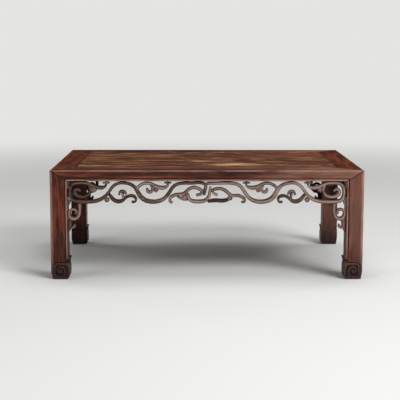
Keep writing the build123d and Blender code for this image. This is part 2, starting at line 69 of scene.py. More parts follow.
LEG = 50.0                  # side of a leg's square section
ARRIS = 9.0                 # rounding of the outer upright corners
TOP_EDGE = 5.0              # rounding of the table top's outer edge
FRAME_WIDTH = 70.0
FRAME_HEIGHT = 31.0
FRAME_BOTTOM = HEIGHT - FRAME_HEIGHT
PANEL_THICKNESS = 14.0
PANEL_GAP = 0.5
PANEL_TONGUE = 8.0
TONGUE_HIGH = HEIGHT - 6.0  # top and underside of the tongue round the panel
TONGUE_LOW = TONGUE_HIGH - 5.0
TONGUE_ROOM = 0.15
BOARD_JOINT = -44.0         # Y of the joint between the two boards
EDGE_ROUND = 0.6            # softened edges of boards and frame
JOINT_BEVEL = 0.35          # worn edges of the mitres

APRON_FACE = 5.0            # face of the aprons behind the face of the legs
APRON_THICKNESS = 12.0
APRON_BOTTOM = FRAME_BOTTOM - 66.0
APRON_TENON = (-5.65, 12.0)             # from the leg's inner face: its root and its end
APRON_TENON_DEPTH = (3.5, 8.5)          # behind the apron's face
APRON_TENON_RISE = (20.0, 44.0)         # above the apron's lower edge
DROP_GAP = 0.4
DROP_FALL = 82.6 / 83.0                 # a drop's real height over its drawn one

BATTENS = ["batten_left", "batten_middle", "batten_right"]

LONG_FIELD = HALF_LENGTH - LEG          # middle of a side to the leg's inner face
END_FIELD = HALF_DEPTH - LEG
INNER_X, INNER_Y = HALF_LENGTH - FRAME_WIDTH, HALF_DEPTH - FRAME_WIDTH      # inner edges of the frame
PANEL_X, PANEL_Y = INNER_X - PANEL_GAP, INNER_Y - PANEL_GAP
PANEL_BOTTOM = HEIGHT - PANEL_THICKNESS

# Joints.
CLEARANCE, END_CLEARANCE = 0.15, 0.5    # round a tenon in its mortise, and beyond its end
# Spans of the leg's stub tenons and the mitre's tenon, from a leg's inner faces and the frame's underside.
STUB_SHORT, STUB_LONG, STUB_RISE = (8, 20), (27, 43), (0, 21)
CORNER_TENON_SPANS = ((-20, 30), (-16, -4), (6, 14))
BATTEN_TENON_HALF, BATTEN_TENON_REACH = 12, 14
BATTEN_TENON_LOW, BATTEN_TENON_HIGH = 12, 4     # below the panel
DOVETAIL_FOOT, DOVETAIL_HEAD, DOVETAIL_HEIGHT = 11.0, 13.0, 4.0     # half widths, and the height
BOARD_TONGUE = 6.0
BOARD_TONGUE_HALF = 2.0


def from_leg(*spans):
    """A box's corners in the back right quarter, from its spans beside a leg."""
    low, high = zip(*spans)
    inner = (LONG_FIELD, END_FIELD, FRAME_BOTTOM)
    return np.add(inner, low), np.add(inner, high)


STUBS = [from_leg(STUB_SHORT, STUB_LONG, STUB_RISE), from_leg(STUB_LONG, STUB_SHORT, STUB_RISE)]
CORNER_TENON = from_leg(*CORNER_TENON_SPANS)
BATTEN_TENON = ((-BATTEN_TENON_HALF, INNER_Y, PANEL_BOTTOM - BATTEN_TENON_LOW),
                (BATTEN_TENON_HALF, INNER_Y + BATTEN_TENON_REACH, PANEL_BOTTOM - BATTEN_TENON_HIGH))

# ---- scroll pattern ----
# A stroke is a list of (x, z, width): points on its centre line, with the band's width there. x runs from
# the middle of an apron towards the right-hand leg, and z up from its lower edge.
CORNER_VINE = [
    (204, 43, 10), (216, 54, 9), (235, 59.5, 8.5), (254, 58.5, 8.5), (269, 50, 9), (281, 34, 9),
    (296, 18, 10), (318, 8, 11), (345, 5.5, 11), (370, 6, 11), (385, 10.5, 10), (391.5, 24, 9),
    (391.5, 42, 9), (385, 54, 9), (371, 59.5, 8.5), (352, 59.8, 8.5), (338, 57, 9), (325, 50.5, 10),
    (313, 47, 11), (301, 46.2, 10.5), (292.5, 49.5, 7.5), (289, 55, 6), (288.5, 59, 5),
]
CORNER_STROKES = [
    [(280, 60, 4), (288, 61, 5.5), (297, 60, 4)],
    [(340, 57, 6), (335, 47, 8), (334, 36, 8), (340, 26, 8), (353, 20, 9), (367, 21.5, 10),
     (377, 29, 12), (377, 39, 10), (368.5, 41.5, 8.5), (364, 38, 7.5)],
    [(389, 19, 5), (393, 8, 6), (395, -2, 3.5)],
    [(282.5, 29, 6), (277, 22, 9), (268, 11.5, 10.5), (255, 6.2, 11.5), (244, 8.5, 10.5), (235, 16, 9),
     (225, 21.5, 8.5), (214, 22.5, 9), (206, 18, 8), (204, 10.5, 6.5), (207.5, 4.8, 6), (213.5, 5, 7)],
    [(238, 12, 6), (241, 22, 7), (241.5, 33, 7)],
    [(232.5, 28, 5.5), (236.5, 34, 7), (243, 36.2, 8), (249.5, 33.5, 7), (251.5, 27, 5.5)],
]
CORNER_BUDS = [(324, 40, 7.4), (287, 11, 7.2)]

MIDDLE_VINE = [
    (40, 59.3, 8.5), (75, 58.5, 9), (93, 52, 9.5), (106, 36, 10), (120, 17.5, 10.5), (140, 7, 11.5),
    (162, 6, 12), (181, 12, 12.5), (195, 27, 12.5),
]
MIDDLE_STROKES = [
    [(204.5, 39, 7), (198, 47, 9), (188, 55, 8.5), (174, 59.3, 8.5), (160, 57, 8.5), (148, 51, 9.5),
     (136, 46.5, 11), (123, 46.5, 10), (114.5, 50.5, 7), (112, 56, 6), (112, 59, 5)],
    [(104, 60, 4), (112, 61, 5.5), (121, 60, 4)],
    [(161, 56, 6), (157.5, 46, 7), (157.5, 38, 8), (163, 33.5, 9), (169.5, 36, 9), (171.5, 41.5, 7)],
]
MIDDLE_BUDS = [(146.6, 40.5, 7.6)]

RIGHT_VINE_START = [(3, 58.5, 9)]
LEFT_VINE_START = [(-8, 28, 8.5), (-7, 37, 10), (-4, 46, 9.5), (-4.5, 54, 9.5), (-14, 59.3, 8.5)]
CROSSING_STROKES = [
    [(-102, 4, 7), (-107.5, 7.5, 6.5), (-106, 15, 8.5), (-99, 22, 9), (-88, 26, 9), (-76, 27.5, 8),
     (-66, 30, 8.5), (-59, 36, 8.5), (-50, 43, 9), (-38, 47, 9), (-25, 43.5, 9), (-15, 35.5, 9),
     (-18.5, 27.5, 8), (-28, 25, 8)],
    [(-64, 31, 6), (-55, 25, 9), (-52.5, 16, 9), (-44, 8.5, 10), (-30, 6.3, 11), (-13, 7, 10.5),
     (-0.5, 13, 9.5), (6, 25, 9), (8, 37, 8), (9.3, 46, 6.5)],
    [(-84, 20, 5), (-76, 16, 7), (-66, 12.5, 7), (-54, 12, 6)],
    [(8, 36, 6), (20, 41, 8), (35, 43.5, 9), (50, 39, 9.5), (60, 31, 10), (68, 25, 9.5), (78, 23, 8.5),
     (90, 23, 9), (100, 19.5, 9), (107.5, 12.5, 8), (107.5, 6.5, 6.5), (101.5, 4.5, 7)],
    [(5, 6.5, 8), (15, 8.8, 10.5), (32, 9, 11), (49, 9, 11), (60, 12, 9)],
    [(14, 38, 5), (19, 30, 7), (27, 25.5, 7.5)],
]
CROSSING_BUDS = [(-65, 19.5, 8.2), (65.5, 16.5, 7.2)]

END_JOIN = 54.0             # x where a corner's vine starts on the shorter aprons
END_VINE_START = [(0, 5.5, 11), (16, 5.8, 11), (32, 12, 12), (45, 27, 12.5)]
END_MIDDLE_STROKES = [
    [(54.5, 39, 7), (47, 48, 9), (35, 55.5, 8.5), (18, 59.3, 8.5), (0, 59.8, 8.5), (-18, 59.3, 8.5),
     (-35, 55.5, 8.5), (-47, 48, 9), (-54.5, 39, 7)],
    [(0, 58, 7), (0, 44, 8)],
]
END_PAIRED_STROKES = [
    [(17, 57, 6), (14, 47, 7), (14.5, 38, 8), (20.5, 33.5, 9), (27, 36.5, 9), (28.5, 42.5, 7)],
]
END_BUDS = [(0, 40, 7.6)]

# Drops: here x is the distance from the leg's inner face, and z runs down from the apron's lower edge.
DROP_STROKES = [
    [(35, 0, 9), (35, -20, 9.5), (33, -32, 9.5), (27, -40.5, 10), (18, -43.5, 11), (9.3, -40, 11),
     (5.2, -31, 9), (6.2, -22, 8), (12, -17, 8), (20, -16.5, 8), (25.5, -20.5, 8)],
    [(16, -44, 9), (7.2, -51, 13), (6.7, -62, 12), (5, -72, 8.6), (3, -81, 4.5)],
    [(8, -66, 6), (13.5, -68.5, 8), (19, -66, 8), (20, -61, 5)],
]
DROP_BUDS = [(26.5, -25.5, 5.2)]

# How the bands are carved.
BAND_STEP = 1.6             # between sections along a band
BAND_EDGE = 2.6             # how far a band's edges lie behind its crown
GROOVE = 0.9                # depth of the incised line beside the inner fillet
GROOVE_AT = 0.44            # its place, as a share of the half width
GROOVE_WIDTH = 0.07         # its spread, as a share too
GROOVE_BEND = 40.0          # a bend of this radius gives it three quarters of its depth
DIVE = 1.5                  # how far a branch sinks into the band it springs from
BACK_BEVEL = 0.6
LIFTS = [0.0, -0.45, -0.2, -0.6, 0.15, -0.35, -0.1]     # bands that cross lie at slightly different depths
BUD_LIFT = 0.35

# ---- foot carving ----
# Points on a leg's face: (distance from the outer edge, height, width).
FOOT_SCROLL = [
    (47.5, 5, 4.6), (47.6, 20, 4.8), (47, 36, 4.8), (43.5, 43, 5), (35, 44.6, 5), (20, 44.2, 5),
    (14, 41.6, 5), (11.4, 35, 5), (11.2, 17, 5), (13.2, 9.6, 5), (19, 6.8, 5), (31, 6.8, 5),
    (37.4, 9.8, 5), (39.4, 18, 5), (39, 28, 5), (35, 34.6, 5), (27, 36.2, 5), (20.8, 32.6, 5),
    (19.8, 25.6, 5), (23.6, 21, 5.4), (28.6, 22.4, 6.2), (29.2, 26, 6.6),
]
FOOT_FLAME = [(43, 44.5, 5), (48, 48.5, 4.5), (51, 53, 3.5), (52.5, 59.5, 1)]
FOOT_LINE = [(43, 49.2, 2.6), (30, 49.4, 2.6), (18, 49, 2.6), (10.8, 46, 2.4), (7.8, 39, 2),
             (7.2, 28, 1.8), (7.4, 14, 1.4), (9.6, 5.5, 0.4)]
FOOT_FIELD = (11.0, 47.0, 6.5, 45.0)    # the scroll's ground lies inside this rectangle
FOOT_GROUND = 1.6           # depth of that ground
FLAME_GROUND = 1.5
FOOT_LINE_DEPTH = 1.9
FOOT_TAPER, TAPER_TOP = 3.0, 24.0       # how far the sole draws back, and the height where that starts
FOOT_TOP = 63.0             # the leg is plain above this height

# ---- bead along the inner edges of legs and frame: distance from the opening, and depth there ----
BEAD_AT = [0, .6, 1.4, 2.75, 4.1, 4.9, 5.5, 6.1, 6.75, 7.4, 8, 8.6, 9.5]
BEAD_DEPTH = [1, .45, .12, 0, .12, .45, 1, 1.5, 1.6, 1.4, .45, .1, 0]


def ease(value):
    """0 below 0, 1 above 1, and smooth in between."""
    value = np.clip(value, 0, 1)
    return value * value * (3 - 2 * value)


# ---- meshes ----
def solid(name, points, faces):
    """A closed mesh from points in millimetres, with its faces turned outwards."""
    mesh = bpy.data.meshes.new(name)
    mesh.from_pydata(np.asarray(points, float) * MM, [], faces)
    work = bmesh.new()
    work.from_mesh(mesh)
    bmesh.ops.recalc_face_normals(work, faces=work.faces)
    work.to_mesh(mesh)
    work.free()
    return mesh


def positions(mesh):
    """A mesh's points, in millimetres."""
    flat = np.empty(len(mesh.vertices) * 3, np.float32)
    mesh.vertices.foreach_get("co", flat)
    return flat.reshape(-1, 3).astype(float) / MM


def tube_faces(rings, around, closed_ends=True):
    """Faces of a skin over rings of points, numbered ring by ring."""
    faces = []
    for ring in range(rings - 1):
        a, b = ring * around, (ring + 1) * around
        for i in range(around):
            j = (i + 1) % around
            faces.append((a + i, a + j, b + j, b + i))
    if closed_ends:
        last = (rings - 1) * around
        faces.append(tuple(range(around - 1, -1, -1)))
        faces.append(tuple(range(last, last + around)))
    return faces


def block(low, high):
    """The mesh of a box between two corners."""
    (x1, y1, z1), (x2, y2, z2) = low, high
    corners = [(x, y, z) for z in (z1, z2) for x, y in ((x1, y1), (x2, y1), (x2, y2), (x1, y2))]
    return solid("block", corners, tube_faces(2, 4))


def mortise(low, high, axis):
    """The block that makes room for a tenon whose length runs along an axis."""
    room = [END_CLEARANCE if i == axis else CLEARANCE for i in range(3)]
    return block(np.subtract(low, room), np.add(high, room))


def loose_tenons(name):
    """Mortises for all the tenons in a CAD node."""
    work = bmesh.new()
    work.from_mesh(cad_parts[name].data)
    bmesh.ops.remove_doubles(work, verts=work.verts, dist=1e-6)
    seen, mortises = set(), []
    for start in work.verts:
        if start in seen:
            continue
        tenon, to_visit = {start}, [start]
        while to_visit:
            for edge in to_visit.pop().link_edges:
                for vert in edge.verts:
                    if vert not in tenon:
                        tenon.add(vert)
                        to_visit.append(vert)
        seen |= tenon
        corners = np.array([vert.co for vert in tenon]) / MM
        low, high = corners.min(axis=0), corners.max(axis=0)
        mortises.append(mortise(low, high, int(np.argmax(high - low))))
    work.free()
    return mortises


def in_each_corner(corners):
    """A box of the back right quarter and its mirror images in the other three."""
    (x1, y1, z1), (x2, y2, z2) = corners
    for sx in (1, -1):
        for sy in (1, -1):
            x, y = sorted((sx * x1, sx * x2)), sorted((sy * y1, sy * y2))
            yield (x[0], y[0], z1), (x[1], y[1], z2)


def cut(mesh, cutters):
    """A mesh with the cutters that reach it taken away."""
    points = positions(mesh)
    low, high = points.min(axis=0), points.max(axis=0)
    near = []
    for cutter in cutters:
        corners = positions(cutter)
        if (corners.max(axis=0) > low).all() and (corners.min(axis=0) < high).all():
            near.append(cutter)
    return combined([mesh] + near, "DIFFERENCE")


def in_scene(name, data):
    """A new object in the scene."""
    thing = bpy.data.objects.new(name, data)
    bpy.context.scene.collection.objects.link(thing)
    return thing


def combined(meshes, operation):
    """The first mesh with the others added to it (UNION) or cut from it (DIFFERENCE)."""
    objects = [in_scene("operand", mesh) for mesh in meshes]
    for other in objects[1:]:
        modifier = objects[0].modifiers.new("combine", "BOOLEAN")
        modifier.operation = operation
        modifier.solver = "MANIFOLD"
        modifier.object = other
    graph = bpy.context.evaluated_depsgraph_get()
    result = bpy.data.meshes.new_from_object(objects[0].evaluated_get(graph))
    for thing in objects:
        bpy.data.objects.remove(thing)
    return result


def copied(mesh, points):
    """A copy of a mesh with its points, given in millimetres, in other places."""
    copy = mesh.copy()
    copy.vertices.foreach_set("co", (points * MM).astype(np.float32).ravel())
    copy.update()
    return copy


def turned(mesh, quarter_turns):
    """A copy of a mesh turned about the Z axis."""
    points = positions(mesh)
    angle = quarter_turns * math.pi / 2
    c, s = round(math.cos(angle)), round(math.sin(angle))
    x, y = points[:, 0].copy(), points[:, 1].copy()
    points[:, 0], points[:, 1] = c * x - s * y, s * x + c * y
    return copied(mesh, points)


def mirrored(mesh, x_side, y_side):
    """A copy of a mesh mirrored to another side of the table."""
    copy = copied(mesh, positions(mesh) * (x_side, y_side, 1))
    if x_side * y_side < 0:
        copy.flip_normals()
    copy.update()
    return copy


def mark(mesh, **layers):
    """Stores a number for each point of a mesh under each name, for its material to read."""
    for name, values in layers.items():
        layer = mesh.attributes.new(name, "FLOAT", "POINT")
        layer.data.foreach_set("value", np.asarray(values, np.float32))


def marked(name, shape):
    """The solid of a shape: its points, faces, and at each point its painted shade with grime, and its wear
    with painted highlight.
    """
    points, faces, recess, worn = shape
    mesh = solid(name, points, faces)
    mark(mesh, recess=recess, worn=worn)
    return mesh


SHARP = 38                  # degrees; edges that turn more than this show as edges


def add_piece(node, mesh, material):
    """Shows a mesh in place of a CAD node."""
    mesh.materials.clear()
    mesh.materials.append(material)
    mesh.shade_smooth()
    mesh.set_sharp_from_angle(angle=math.radians(SHARP))
    piece = in_scene(node + "_finished", mesh)
    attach(piece, "root")
    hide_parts(node)


def add_pair(node, opposite, mesh, material):
    """Shows a mesh for one CAD node, and a turned copy for the opposite one."""
    add_piece(node, mesh, material)
    add_piece(opposite, turned(mesh, 2), material)


# ---- bands ----
def spline(points, step):
    """Evenly spaced points on the natural cubic curve through the given ones."""
    points = np.array(points, float)
    gaps = np.hypot(*np.diff(points[:, :2], axis=0).T)
    knots = np.concatenate([[0], np.cumsum(gaps)])
    count = len(knots)
    matrix = np.eye(count)
    bends = np.zeros_like(points)
    for i in range(1, count - 1):
        matrix[i, i - 1:i + 2] = gaps[i - 1] / 6, (gaps[i - 1] + gaps[i]) / 3, gaps[i] / 6
        bends[i] = (points[i + 1] - points[i]) / gaps[i] - (points[i] - points[i - 1]) / gaps[i - 1]
    bends = np.linalg.solve(matrix, bends)
    along = np.linspace(0, knots[-1], max(int(knots[-1] / step), 4) + 1)
    k = np.clip(np.searchsorted(knots, along, side="right") - 1, 0, count - 2)
    gap = gaps[k][:, None]
    a = (knots[k + 1] - along)[:, None] / gap
    b = 1 - a
    curve = (a ** 3 - a) * bends[k] + (b ** 3 - b) * bends[k + 1]
    return a * points[k] + b * points[k + 1] + curve * gap ** 2 / 6


def distance_outside(point, path):
    """How far a point lies outside a band."""
    return (np.hypot(*(path[:, :2] - point[:2]).T) - path[:, 2] / 2).min()


# Places of a section's points, as shares of the half width, and steps round a band's end.
SIDE_STEPS = [.12, .24, .33, .39, .44, .49, .55, .66, .78, .88, .95, 1]
ACROSS = np.array([-v for v in reversed(SIDE_STEPS)] + [0] + SIDE_STEPS)
CAP_ANGLES = np.radians([14, 28, 42, 55, 67, 77, 85])


def band(path, others, lift, flat_start=False):
    """The solid of one stroke: points (x, depth behind the crown, z) and faces."""
    tangent = np.gradient(path[:, :2], axis=0)
    tangent /= np.linalg.norm(tangent, axis=1)[:, None]
    heading = np.unwrap(np.arctan2(tangent[:, 1], tangent[:, 0]))
    run = np.concatenate([[0], np.cumsum(np.hypot(*np.diff(path[:, :2], axis=0).T))])
    bend = np.gradient(heading, run)
    bend = np.convolve(np.pad(bend, 3, mode="edge"), np.ones(7) / 7, "valid")

    half = path[:, 2] / 2
    dive = np.zeros(len(path))
    for end, distance in ((0, run), (-1, run[-1] - run)):
        if others and min(distance_outside(path[end], other) for other in others) < 0:
            dive += DIVE * (1 - ease(distance / (1.6 * half[end] + 2)))
    ends = np.minimum(run, run[-1] - run)
    groove = GROOVE * np.tanh(bend * GROOVE_BEND) * ease(ends / 4)

    cos, sin, none = np.cos(CAP_ANGLES), np.sin(CAP_ANGLES), np.zeros(len(CAP_ANGLES))

    def cap(i, way):
        """The sections of a rounded end, from the path's point i outwards."""
        centre = path[i, :2] + way * np.outer(sin * half[i], tangent[i])
        return centre, none[:, None] + tangent[i], half[i] * cos, sin, none + dive[i], none

    sections = [(path[:, :2], tangent, half, np.zeros(len(path)), dive, groove), cap(-1, 1)]
    if not flat_start:
        sections.insert(0, [values[::-1] for values in cap(0, -1)])
    centre, side, width, reach, drop, line = map(np.concatenate, zip(*sections))

    share = np.sqrt(reach ** 2 + (1 - reach ** 2) * ACROSS[:, None] ** 2).T
    depth = BAND_EDGE * (1 - (1 - np.minimum(share, 1) ** 2.5) ** 0.4)
    for sign in (1, -1):
        spread = np.exp(-((ACROSS - sign * GROOVE_AT) / GROOVE_WIDTH) ** 2)
        depth += np.maximum(sign * line, 0)[:, None] * spread
    depth += (drop - lift)[:, None]

    back_share = 1 - np.minimum(BACK_BEVEL, width / 2) / np.maximum(width, 1e-6)
    back = width * back_share
    offsets = np.column_stack([np.outer(width, ACROSS), width, back, -back, -width])
    shallow = np.full(len(width), APRON_THICKNESS - BACK_BEVEL)
    deep = np.full(len(width), APRON_THICKNESS)
    depths = np.column_stack([depth, shallow, deep, deep, shallow])
    x = centre[:, :1] - side[:, 1:] * offsets
    z = centre[:, 1:] + side[:, :1] * offsets
    rings, around = offsets.shape
    points = np.stack([x, depths, z], axis=-1).reshape(-1, 3)
    return points, tube_faces(rings, around)


# A bud's section: (share of its radius, depth behind its crown).
BUD_PROFILE = [(.1, -.1), (.25, .05), (.38, .5), (.46, 1.2), (.52, 1.9), (.58, 1.9), (.64, 1.2), (.72, .45),
               (.82, .2), (.9, .6), (.96, 1.3), (1, 2.4)]
BUD_SIDES = 40


def bud(x, z, radius):
    """A round bud: a boss in a ring, with a groove between them."""
    profile = BUD_PROFILE + [
        (1, APRON_THICKNESS - BACK_BEVEL + BUD_LIFT), (1 - BACK_BEVEL / radius, APRON_THICKNESS + BUD_LIFT),
    ]
    angle = np.arange(BUD_SIDES) * 2 * math.pi / BUD_SIDES
    points = []
    for share, depth in profile:
        r = radius * share
        points += [(x + r * math.cos(a), depth - BUD_LIFT, z + r * math.sin(a)) for a in angle]
    return np.array(points), tube_faces(len(profile), BUD_SIDES)


def openwork(name, strokes, buds, extra=(), flat_first=False):
    """Bands and buds joined to one carved solid, with its crown at y = 0 and facing -Y."""
    paths = [spline(stroke, BAND_STEP) for stroke in strokes]
    parts = []
    for i, path in enumerate(paths):
        others = paths[:i] + paths[i + 1:]
        lift = LIFTS[i % len(LIFTS)]
        parts.append(solid(name, *band(path, others, lift, flat_first and i == 0)))
    parts += [solid(name, *bud(*place)) for place in buds]
    parts.extend(extra)
    return combined(parts, "UNION")


def flipped(stroke):
    """A stroke, or a list of buds, mirrored to the left half."""
    return [(-x, z, w) for x, z, w in stroke]


def moved(stroke, by):
    """A stroke, or a list of buds, shifted along the apron."""
    return [(x + by, z, w) for x, z, w in stroke]


def end_tenons(half_field):
    """The tenons at both ends of an apron."""
    root, tip = APRON_TENON
    for side in (1, -1):
        span = sorted((side * (half_field + root), side * (half_field + tip)))
        yield block(*zip(span, APRON_TENON_DEPTH, APRON_TENON_RISE))


def placed(mesh, outer):
    """A carved solid stood at the front of a side this far out, with its marks of painted shade with grime on
    the bands' flanks, and of wear with painted highlight on their crowns.
    """
    points = positions(mesh)
    copy = copied(mesh, points + (0, APRON_FACE - outer, APRON_BOTTOM))
    depth = points[:, 1]
    # The deeper flanks of the bands get painted shade as well as grime; their crowns get a painted highlight
    # as well as wear.
    mark(copy, recess=ease((depth - 0.4) / 1.4), worn=1 - ease((depth + 0.1) / 0.7))
    return copy


def long_apron():
    half = MIDDLE_VINE + CORNER_VINE
    vines = [RIGHT_VINE_START + half, LEFT_VINE_START + flipped(half)]
    paired = MIDDLE_STROKES + CORNER_STROKES
    buds = MIDDLE_BUDS + CORNER_BUDS
    strokes = vines + paired + [flipped(stroke) for stroke in paired] + CROSSING_STROKES
    return openwork("long_apron", strokes, buds + flipped(buds) + CROSSING_BUDS, end_tenons(LONG_FIELD))


def end_apron():
    shift = END_JOIN - CORNER_VINE[0][0]
    half = END_VINE_START + moved(CORNER_VINE, shift)
    vine = flipped(half[:0:-1]) + half
    paired = [moved(stroke, shift) for stroke in CORNER_STROKES] + END_PAIRED_STROKES
    buds = moved(CORNER_BUDS, shift)
    strokes = [vine] + paired + [flipped(stroke) for stroke in paired] + END_MIDDLE_STROKES
    return openwork("end_apron", strokes, buds + flipped(buds) + END_BUDS, end_tenons(END_FIELD))


def drop(half_field):
    """The right-hand drop of a side."""
    def fitted(stroke):
        return [(half_field - x, z * DROP_FALL - DROP_GAP, w) for x, z, w in stroke]
    return openwork("drop", [fitted(stroke) for stroke in DROP_STROKES], fitted(DROP_BUDS), flat_first=True)


# ---- legs ----
def outside(path, t, z):
    """How far points (t, z) lie outside a band, negative inside it."""
    best = np.full(np.shape(t), 1e9)
    for x, height, width in path:
        best = np.minimum(best, np.hypot(t - x, z - height) - width / 2)
    return best


def foot_carving(t, z):
    """Depth of the carving at distance t from the leg's outer edge and height z."""
    scroll = outside(spline(FOOT_SCROLL, 0.8), t, z)
    flame = outside(spline(FOOT_FLAME, 0.8), t, z)
    line = outside(spline(FOOT_LINE, 0.8), t, z)
    left, right, low, high = FOOT_FIELD
    inside = ease((t - left) / 2) * ease((right - t) / 2) * ease((z - low) / 2) * ease((high - z) / 2)
    near_flame = ease((t - 38) / 6) * ease((z - 46) / 3) * ease((62 - z) / 3)
    ground = np.interp(np.minimum(scroll, flame), [-2.4, -1.5, -0.7, 0, 0.7], [0, .06, .25, .65, 1])
    depth = FOOT_GROUND * ground * inside
    depth = np.maximum(depth, FLAME_GROUND * ground * near_flame)
    return np.maximum(depth, FOOT_LINE_DEPTH * np.interp(line, [-.9, -.2, .5], [1, .6, 0]))


# How far the foot's inner sides stand in from the leg at these heights, under a spur and between two.
KNEE_AT = [0, 3, 8, 18, 36, 42, 46, 50, 56, 60, 61.5, 62.2, 63]
SPUR_KNEE = [-2.5, .5, 3, 4, 4, 3, 2.2, 2.6, 4.2, 5.2, 4.6, .3, 0]
LEDGE_AT = [0, 3, 8, 18, 38, 44, 46.4, 47.4, 48, 49]
LEDGE_KNEE = [-2.5, .5, 3, 4, 4, 3.8, 3.4, 2.6, .5, 0]


def leg_inwards(t, other, z):
    """Distance from an outer face of a point at t on a straight leg, and at other from the other outer face.

    The foot's inner sides end above in a ledge, which rises to a spur at both of its corners.
    """
    taper = FOOT_TAPER * ease((TAPER_TOP - z) / TAPER_TOP)
    spur = np.maximum(np.exp(-(other / 7) ** 2), np.exp(-((LEG - other) / 6) ** 2))
    knee = spur * np.interp(z, KNEE_AT, SPUR_KNEE) + (1 - spur) * np.interp(z, LEDGE_AT, LEDGE_KNEE)
    return t + taper * (1 - ease(t / 15)) + knee * ease((t - 35) / 15)


def rounded(q, p, z):
    """Pull points inside the table's rounded upright corners and top edge; q and p run in from two faces."""
    above = np.clip(z - (HEIGHT - TOP_EDGE), 0, TOP_EDGE)
    inset = TOP_EDGE - np.sqrt(TOP_EDGE ** 2 - above ** 2)
    a, b = q - ARRIS, p - ARRIS
    corner = (a < 0) & (b < 0)
    length = np.where(corner, np.hypot(a, b), 1)
    pull = np.where(corner, np.minimum(1, (ARRIS - inset) / np.maximum(length, 1e-6)), 1)
    q = np.where(corner, ARRIS + a * pull, np.maximum(q, inset))
    p = np.where(corner, ARRIS + b * pull, np.maximum(p, inset))
    return q, p


JOINT_GRIME = {0: 1, 1: 0.85, 2: 0.5, 3: 0.2}       # grime in the last rows of points below the mitres


def leg_mesh():
    """The back right leg as far as the mitres, with the marks of wear with painted highlight, and of painted
    shade with grime.
    """
    face = np.arange(LEG, ARRIS, -0.5)
    turn = np.linspace(0, math.pi / 2, 15)
    inner = np.linspace(0, LEG, 21)[1:-1]
    none, full = np.zeros(len(face)), np.ones(len(face))
    far = np.full(len(inner), LEG)
    hidden = np.zeros(len(inner) * 2 + 1)
    q = np.concatenate([face, ARRIS - ARRIS * np.sin(turn), none, inner, [LEG], far])
    p = np.concatenate([none, ARRIS - ARRIS * np.cos(turn), face[::-1], far, [LEG], inner[::-1]])
    t = np.concatenate([face, ARRIS - ARRIS * np.minimum(turn, turn[::-1]), face[::-1], hidden])
    normal_q = np.concatenate([none, np.sin(turn), full, hidden])
    normal_p = np.concatenate([full, np.cos(turn), none, hidden])
    shown = np.concatenate([np.ones(len(q) - len(hidden)), hidden])
    arris = np.concatenate([none, np.sin(2 * turn), none, hidden])
    crest = FRAME_BOTTOM + FRAME_HEIGHT * (1 - np.maximum(q, p) / LEG)

    sole = [0, 0.2, 0.6, 1.2]
    heights = sole + list(np.arange(1.8, FOOT_TOP + 1.5, 0.6)) + [66, 70, 100, 140, 180, 220]
    below = [25, 14, 9, 6, 4.5, 3.2, 2.2, 1.4, 0.7, 0]
    rows = [np.full(len(q), height) for height in heights] + [crest - drop for drop in below]
    points, recess, worn = [], [], []
    for row, z in enumerate(rows):
        last = row == len(rows) - 1
        bead_fade = ease((z - 58) / 5)
        bead = np.interp(LEG - t, BEAD_AT, BEAD_DEPTH) * bead_fade
        carved = foot_carving(t, z) * ease((z - 0.5) / 2)
        depth = np.maximum(bead, carved) * shown + (JOINT_BEVEL if last else 0)
        soft = 0.8 * (1 - np.sqrt(np.clip(1 - (1 - np.minimum(z / 1.2, 1)) ** 2, 0, 1)))
        new_q, new_p = q + normal_q * (depth + soft), p + normal_p * (depth + soft)
        new_q, new_p = rounded(new_q, new_p, z)
        new_q, new_p = leg_inwards(new_q, p, z), leg_inwards(new_p, q, z)
        points.append(np.column_stack([HALF_LENGTH - new_q, HALF_DEPTH - new_p, z]))
        joint = JOINT_GRIME.get(len(rows) - 1 - row, 0)
        # Grooves of the bead and of the foot carving get painted shade as well as grime; the rows under the
        # mitres get the dark of the joint.
        recess.append(np.maximum(ease((depth - 0.3) / 1.2) * shown, joint))
        # The rounded arris, the bead's crown and the foot scroll's ridges get a painted highlight as well as
        # wear.
        crown = ((LEG - t > 1) & (LEG - t < 4.5)) * bead_fade * 0.9
        foot_crown = (z < 50) * (carved < 0.15) * (t > 8) * 0.35
        worn.append(np.maximum(np.maximum(arris, crown), foot_crown) * shown)
    around = len(q)
    faces = tube_faces(len(rows), around, closed_ends=False)
    faces.append(tuple(range(around - 1, -1, -1)))
    last = (len(rows) - 1) * around
    hub = last + int(np.argmax(q + p))
    for i in range(around):
        a, b = last + i, last + (i + 1) % around
        if hub not in (a, b):
            faces.append((hub, a, b))
    return np.concatenate(points), faces, np.concatenate(recess), np.concatenate(worn)


# ---- frame ----
def frame_section():
    """A frame member's section: (distance in from the outer face, height), from its lower front edge."""
    bead = np.arange(0, 9.6, 0.5)
    turn = np.linspace(0, math.pi / 2, 11)
    points = [(0, FRAME_BOTTOM + h) for h in (*bead, 13, 18, 22, 24.5)]
    top = HEIGHT - TOP_EDGE
    points += [(TOP_EDGE - TOP_EDGE * math.cos(a), top + TOP_EDGE * math.sin(a)) for a in turn]
    points += [(p, HEIGHT) for p in (9, 15, 22, 30, 38, 46, 54, 61, 66)]
    points += [(FRAME_WIDTH - EDGE_ROUND, HEIGHT), (FRAME_WIDTH, HEIGHT - EDGE_ROUND)]
    groove = FRAME_WIDTH - PANEL_TONGUE - PANEL_GAP
    high, low = TONGUE_HIGH + TONGUE_ROOM, TONGUE_LOW - TONGUE_ROOM
    points += [(FRAME_WIDTH, high), (groove, high), (groove, low), (FRAME_WIDTH, low)]
    points += [(FRAME_WIDTH, FRAME_BOTTOM + 1), (FRAME_WIDTH - 1, FRAME_BOTTOM)]
    points += [(p, FRAME_BOTTOM) for p in (60, LEG, 40, 30, 20, 10)]
    return np.array(points, float)


